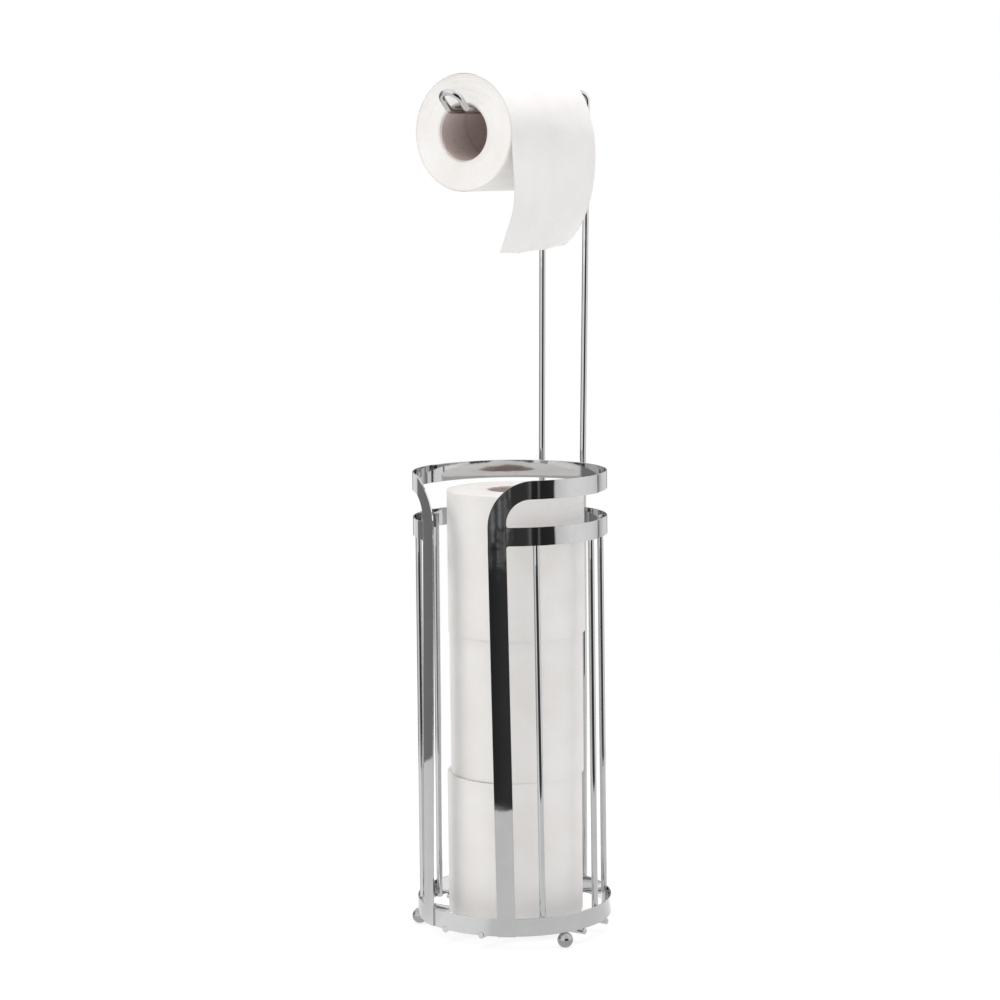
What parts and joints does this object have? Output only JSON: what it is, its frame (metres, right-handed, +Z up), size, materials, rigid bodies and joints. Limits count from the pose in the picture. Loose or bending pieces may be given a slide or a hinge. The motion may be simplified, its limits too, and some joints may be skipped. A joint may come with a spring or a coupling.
{
  "type": "free-standing toilet roll stand",
  "caption": "Free-standing chrome wire and strip stand: a round basket stores reserve toilet rolls on end, and a tall wire loop carries the roll in use.",
  "frame": {"origin": "on the floor, on the axis of the round basket", "axes": "+Z up along the basket's axis; -Y out of the basket's open front and along the arm to its tip; +X to the right of someone who looks at the stand along +Y"},
  "size_m": [0.1406, 0.1498, 0.6132],
  "materials": {
    "chrome_strip": "mirror chrome on bent steel strip",
    "chrome_wire": "mirror chrome on steel wire",
    "chrome_ball": "mirror chrome on steel balls",
    "tissue": "soft matte two-ply tissue",
    "core_board": "matte grey-brown spiral-wound board"
  },
  "bodies": {
    "stand": {"base_ring": "chrome_strip", "middle_back_band": "chrome_strip", "top_back_band": "chrome_strip", "front_panel_right": "chrome_strip", "front_panel_left": "chrome_strip", "rod_front_right": "chrome_wire", "rod_front_left": "chrome_wire", "rod_side_right": "chrome_wire", "rod_side_left": "chrome_wire", "rod_back_right": "chrome_wire", "rod_back_left": "chrome_wire", "base_wire_long_right": "chrome_wire", "base_wire_long_left": "chrome_wire", "base_wire_cross_front": "chrome_wire", "base_wire_cross_back": "chrome_wire", "ball_foot_right": "chrome_ball", "ball_foot_left": "chrome_ball", "ball_foot_back": "chrome_ball", "hanger_loop": "chrome_wire"},
    "reserve_bottom_roll": {"reserve_bottom_paper": "tissue", "reserve_bottom_core": "core_board"},
    "reserve_middle_roll": {"reserve_middle_paper": "tissue", "reserve_middle_core": "core_board"},
    "reserve_top_roll": {"reserve_top_paper": "tissue", "reserve_top_core": "core_board"},
    "paper_end": {"loose_sheet": "tissue"},
    "hanging_roll": {"hanging_roll_paper": "tissue", "hanging_roll_core": "core_board"}
  },
  "joints": [
    {"name": "bottom_roll_lift", "type": "slide", "parent": "stand", "child": "reserve_bottom_roll", "axis": [0, 0, 1], "range_m": [0, 0.02]},
    {"name": "middle_roll_lift", "type": "slide", "parent": "reserve_bottom_roll", "child": "reserve_middle_roll", "axis": [0, 0, 1], "range_m": [0, 0.02]},
    {"name": "top_roll_lift", "type": "slide", "parent": "reserve_middle_roll", "child": "reserve_top_roll", "axis": [0, 0, 1], "range_m": [0, 0.12]},
    {"name": "hanging_roll_lift", "type": "slide", "parent": "stand", "child": "paper_end", "axis": [0, -0.7071, 0.7071], "range_m": [0, 0.03]},
    {"name": "hanging_roll_spin", "type": "hinge", "parent": "paper_end", "child": "hanging_roll", "pos_m": [0, 0, 0.5721], "axis": [0, 1, 0], "continuous": true}
  ]
}
